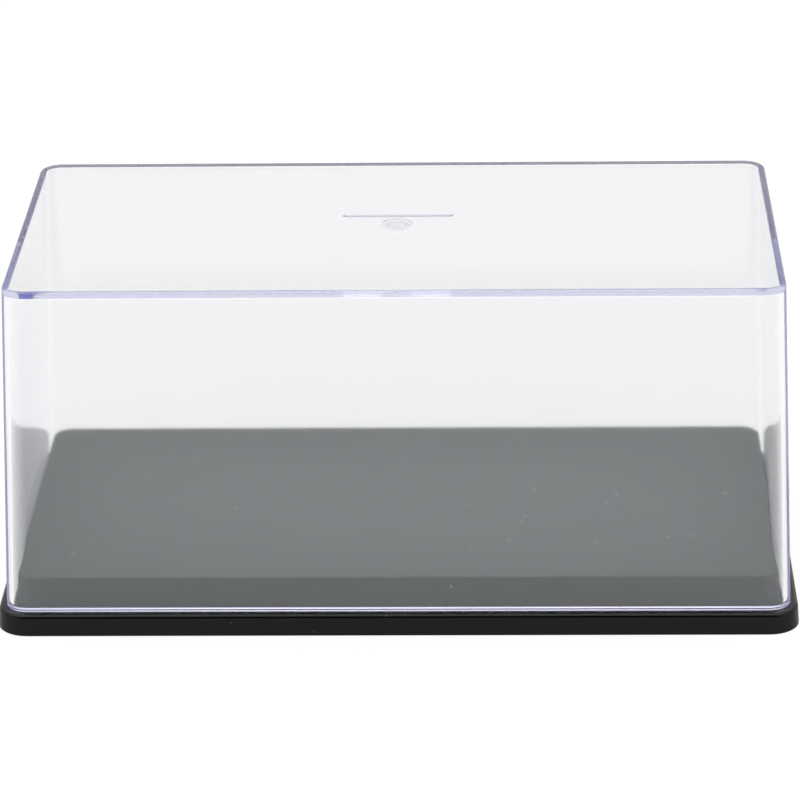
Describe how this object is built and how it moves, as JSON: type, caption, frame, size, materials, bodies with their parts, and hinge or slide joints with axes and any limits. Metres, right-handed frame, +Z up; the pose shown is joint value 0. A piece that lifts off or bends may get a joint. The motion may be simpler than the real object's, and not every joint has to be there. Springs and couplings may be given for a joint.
{
  "type": "display case",
  "caption": "Rectangular table-top display case: a clear lift-off cover with leaning walls stands on the ledge of a black plinth, over a raised grey deck for a small model.",
  "frame": {"origin": "under the middle of the plinth, on the surface that the case stands on", "axes": "+X along the case's length, +Y to its back, +Z up"},
  "size_m": [0.1432, 0.0758, 0.0642],
  "materials": {
    "clear_plastic": "clear moulded polystyrene, polished, with a faint violet tint at its edges",
    "grey_deck": "fine matte grey moulding",
    "black_plinth": "gloss black moulding with faint handling marks",
    "screw_steel": "bright zinc plate"
  },
  "bodies": {
    "base": {"plinth": "black_plinth", "deck": "grey_deck", "deck_screw_front_left": "screw_steel", "deck_screw_front_right": "screw_steel", "deck_screw_rear_left": "screw_steel", "deck_screw_rear_right": "screw_steel"},
    "cover": {"clear_cover": "clear_plastic"}
  },
  "joints": [
    {"name": "cover_lift", "type": "slide", "parent": "base", "child": "cover", "axis": [0, 0, 1], "range_m": [0, 0.08]}
  ]
}
